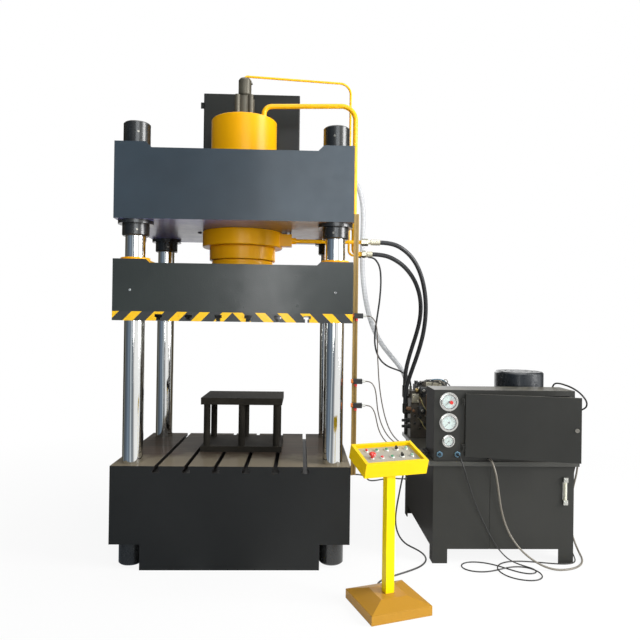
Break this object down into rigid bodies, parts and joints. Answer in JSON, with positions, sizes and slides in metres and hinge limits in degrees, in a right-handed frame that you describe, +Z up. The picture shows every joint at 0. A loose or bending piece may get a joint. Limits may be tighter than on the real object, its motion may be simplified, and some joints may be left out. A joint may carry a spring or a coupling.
{
  "type": "hydraulic press",
  "caption": "Four-column hydraulic press with a sliding platen, prefill tank, separate hydraulic power unit with gauges and motor, and a yellow push-button stand",
  "frame": {"origin": "on the floor, under the centre of the press bed", "axes": "X to the right along the front of the press, Y away from the operator, Z up"},
  "size_m": [3.3453, 1.9868, 3.584],
  "materials": {
    "frame_black": "gloss",
    "column_chrome": "polished",
    "nut_steel": "satin",
    "cylinder_yellow": "gloss",
    "stand_yellow": "gloss",
    "ram_chrome": "polished",
    "seal_rubber": "matte",
    "valve_steel": "satin",
    "fitting_steel": "plated",
    "rail_aluminium": "satin",
    "switch_plastic": "matte",
    "riser_paint": "satin",
    "unit_grey": "satin",
    "gauge_chrome": "polished",
    "gauge_pointer": "matte",
    "motor_blue": "satin",
    "pump_iron": "cast",
    "valve_coil": "matte",
    "panel_aluminium": "brushed",
    "bezel_white": "gloss",
    "lamp_lens": "clear",
    "button_red": "gloss",
    "button_green": "gloss",
    "selector_black": "gloss",
    "hose_rubber": "satin",
    "clear_hose_plastic": "translucent",
    "cable_grey": "satin",
    "cable_black": "satin"
  },
  "bodies": {
    "frame": {"bed": "frame_black", "columns": "column_chrome", "crown": "frame_black", "column_nuts": "nut_steel", "cylinder_barrel": "cylinder_yellow", "cylinder_gland": "cylinder_yellow", "prefill_valve": "nut_steel", "prefill_tank": "frame_black", "pilot_pipe": "cylinder_yellow", "pressing_pipe": "cylinder_yellow", "return_pipe": "cylinder_yellow", "line_fittings": "fitting_steel", "limit_rail": "rail_aluminium", "limit_switches": "switch_plastic", "riser_table": "riser_paint", "oil_tank": "unit_grey", "tank_lid": "unit_grey", "level_gauge": "gauge_chrome", "enclosure": "unit_grey", "gauge_cases": "gauge_chrome", "motor_housing": "motor_blue", "fan_cover": "motor_blue", "pump": "pump_iron", "manifold": "valve_steel", "solenoid_valves": "valve_coil", "control_stand": "stand_yellow", "control_box": "stand_yellow", "control_panel": "panel_aluminium", "button_bezels": "bezel_white", "pilot_lamps": "lamp_lens", "upper_hose": "hose_rubber", "lower_hose": "hose_rubber", "pilot_hose": "hose_rubber", "clear_hose": "clear_hose_plastic", "sensor_cable_top": "cable_grey", "sensor_cable_middle": "cable_grey", "sensor_cable_low": "cable_grey", "earth_lead": "cable_black", "stand_cable": "cable_black", "supply_cable_thin": "cable_black", "supply_cable_thick": "cable_grey", "motor_cable": "cable_black"},
    "slide_group": {"slide": "frame_black", "ram": "ram_chrome", "ram_flange": "cylinder_yellow", "slide_bushings": "cylinder_yellow", "piston_seals": "seal_rubber"},
    "door": {"cabinet_door": "unit_grey"},
    "lock": {"door_lock": "gauge_chrome"},
    "pointer_a": {"pointer_upper": "gauge_pointer"},
    "pointer_b": {"pointer_middle": "gauge_pointer"},
    "pointer_c": {"pointer_lower": "gauge_pointer"},
    "rotor": {"motor_shaft": "valve_steel"},
    "stop_button": {"emergency_stop": "button_red"},
    "stop_flat": {"red_button": "button_red"},
    "start_left": {"green_button_left": "button_green"},
    "start_middle": {"green_button_middle": "button_green"},
    "start_front": {"green_button_front": "button_green"},
    "switch_back": {"selector_back": "selector_black"},
    "switch_front": {"selector_front": "selector_black"}
  },
  "joints": [
    {"name": "press_stroke", "type": "slide", "parent": "frame", "child": "slide_group", "axis": [0, 0, -1], "range_m": [0, 0.55]},
    {"name": "door_hinge", "type": "hinge", "parent": "frame", "child": "door", "pos_m": [1.608, -0.4905, 0.9715], "axis": [0, 0, -1], "range_deg": [-14, 80]},
    {"name": "lock_turn", "type": "hinge", "parent": "door", "child": "lock", "pos_m": [2.32314, -0.68475, 0.9715], "axis": [-0.2504, -0.9681, 0], "range_deg": [0, 90]},
    {"name": "pointer_a_turn", "type": "hinge", "parent": "frame", "child": "pointer_a", "pos_m": [1.504, -0.48, 1.132], "axis": [0, 1, 0], "range_deg": [0, 270]},
    {"name": "pointer_b_turn", "type": "hinge", "parent": "frame", "child": "pointer_b", "pos_m": [1.504, -0.48, 0.986], "axis": [0, 1, 0], "range_deg": [0, 270]},
    {"name": "pointer_c_turn", "type": "hinge", "parent": "frame", "child": "pointer_c", "pos_m": [1.504, -0.48, 0.856], "axis": [0, 1, 0], "range_deg": [0, 270]},
    {"name": "rotor_spin", "type": "hinge", "parent": "frame", "child": "rotor", "pos_m": [2.173, 0, 0.9], "axis": [0, 0, 1], "continuous": true},
    {"name": "stop_button_press", "type": "slide", "parent": "frame", "child": "stop_button", "axis": [-0.0996, 0.2943, -0.9505], "range_m": [0, 0.004], "stiffness_N_per_m": 800, "springref_m": -0.002},
    {"name": "stop_flat_press", "type": "slide", "parent": "frame", "child": "stop_flat", "axis": [-0.0996, 0.2943, -0.9505], "range_m": [0, 0.004], "stiffness_N_per_m": 800, "springref_m": -0.002},
    {"name": "start_left_press", "type": "slide", "parent": "frame", "child": "start_left", "axis": [-0.0996, 0.2943, -0.9505], "range_m": [0, 0.004], "stiffness_N_per_m": 800, "springref_m": -0.002},
    {"name": "start_middle_press", "type": "slide", "parent": "frame", "child": "start_middle", "axis": [-0.0996, 0.2943, -0.9505], "range_m": [0, 0.004], "stiffness_N_per_m": 800, "springref_m": -0.002},
    {"name": "start_front_press", "type": "slide", "parent": "frame", "child": "start_front", "axis": [-0.0996, 0.2943, -0.9505], "range_m": [0, 0.004], "stiffness_N_per_m": 800, "springref_m": -0.002},
    {"name": "switch_back_turn", "type": "hinge", "parent": "frame", "child": "switch_back", "pos_m": [1.04583, -1.02511, 0.91003], "axis": [0.0996, -0.2943, 0.9505], "range_deg": [-45, 45]},
    {"name": "switch_front_turn", "type": "hinge", "parent": "frame", "child": "switch_front", "pos_m": [1.07052, -1.09804, 0.88486], "axis": [0.0996, -0.2943, 0.9505], "range_deg": [-45, 45]}
  ]
}
